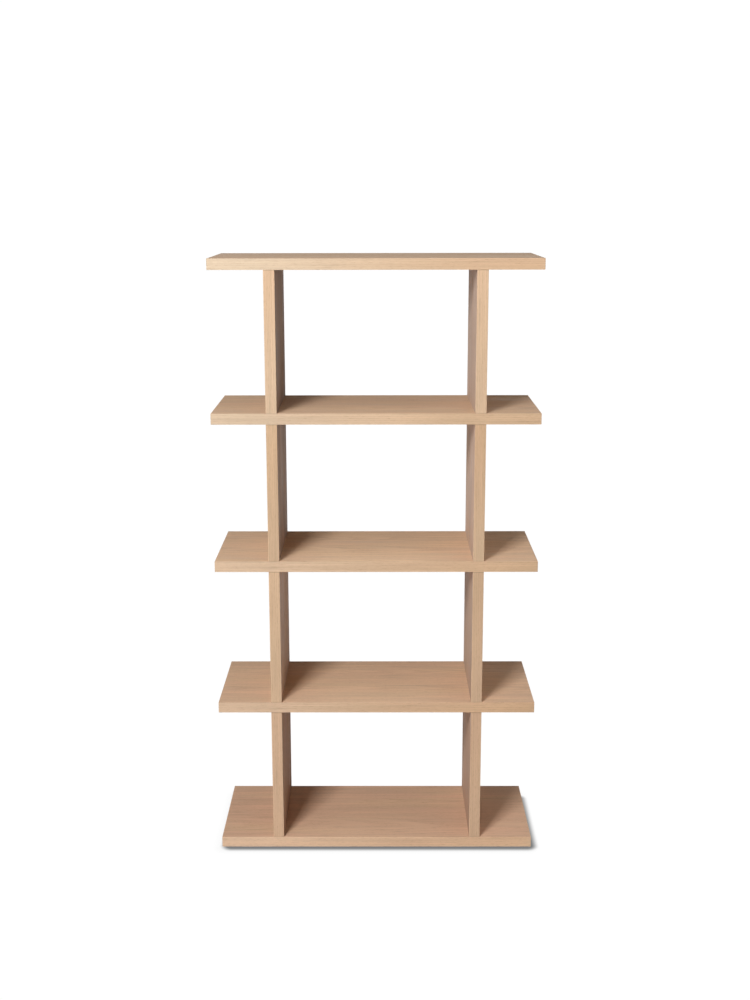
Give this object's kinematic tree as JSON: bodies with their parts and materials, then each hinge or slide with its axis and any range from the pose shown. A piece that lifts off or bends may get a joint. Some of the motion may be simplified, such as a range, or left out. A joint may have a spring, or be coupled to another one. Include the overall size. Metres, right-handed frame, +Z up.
{
  "type": "open bookcase",
  "caption": "Straight free-standing open bookcase: thick oak-veneered shelf boards carried on inset upright panels, with wide shelf overhangs and low floor glides.",
  "frame": {"origin": "on the floor, under the middle of the bookcase", "axes": "+X along the shelves to the right, +Y from the front to the back, +Z up"},
  "size_m": [0.8, 0.313, 1.51],
  "materials": {
    "oak_veneer": "natural oak veneer, matt clear lacquer",
    "dowel_beech": "raw beech",
    "cam_zinc": "die-cast zinc, tumbled",
    "bolt_steel": "bright zinc-plated steel",
    "cap_plastic": "oak-coloured matt plastic",
    "glide_plastic": "dark brown matt plastic",
    "nail_steel": "bright steel"
  },
  "bodies": {
    "root": {"base_shelf": "oak_veneer", "second_shelf": "oak_veneer", "third_shelf": "oak_veneer", "fourth_shelf": "oak_veneer", "top_shelf": "oak_veneer", "left_upright_1": "oak_veneer", "left_upright_2": "oak_veneer", "left_upright_3": "oak_veneer", "left_upright_4": "oak_veneer", "right_upright_1": "oak_veneer", "right_upright_2": "oak_veneer", "right_upright_3": "oak_veneer", "right_upright_4": "oak_veneer", "left_upright_1_cams": "cam_zinc", "left_upright_2_cams": "cam_zinc", "left_upright_3_cams": "cam_zinc", "left_upright_4_cams": "cam_zinc", "right_upright_1_cams": "cam_zinc", "right_upright_2_cams": "cam_zinc", "right_upright_3_cams": "cam_zinc", "right_upright_4_cams": "cam_zinc", "left_upright_1_caps": "cap_plastic", "left_upright_2_caps": "cap_plastic", "left_upright_3_caps": "cap_plastic", "left_upright_4_caps": "cap_plastic", "right_upright_1_caps": "cap_plastic", "right_upright_2_caps": "cap_plastic", "right_upright_3_caps": "cap_plastic", "right_upright_4_caps": "cap_plastic", "left_upright_1_dowels": "dowel_beech", "left_upright_2_dowels": "dowel_beech", "left_upright_3_dowels": "dowel_beech", "left_upright_4_dowels": "dowel_beech", "right_upright_1_dowels": "dowel_beech", "right_upright_2_dowels": "dowel_beech", "right_upright_3_dowels": "dowel_beech", "right_upright_4_dowels": "dowel_beech", "base_shelf_bolts": "bolt_steel", "second_shelf_bolts": "bolt_steel", "third_shelf_bolts": "bolt_steel", "fourth_shelf_bolts": "bolt_steel", "top_shelf_bolts": "bolt_steel", "floor_glides": "glide_plastic", "glide_nails": "nail_steel"}
  },
  "joints": []
}
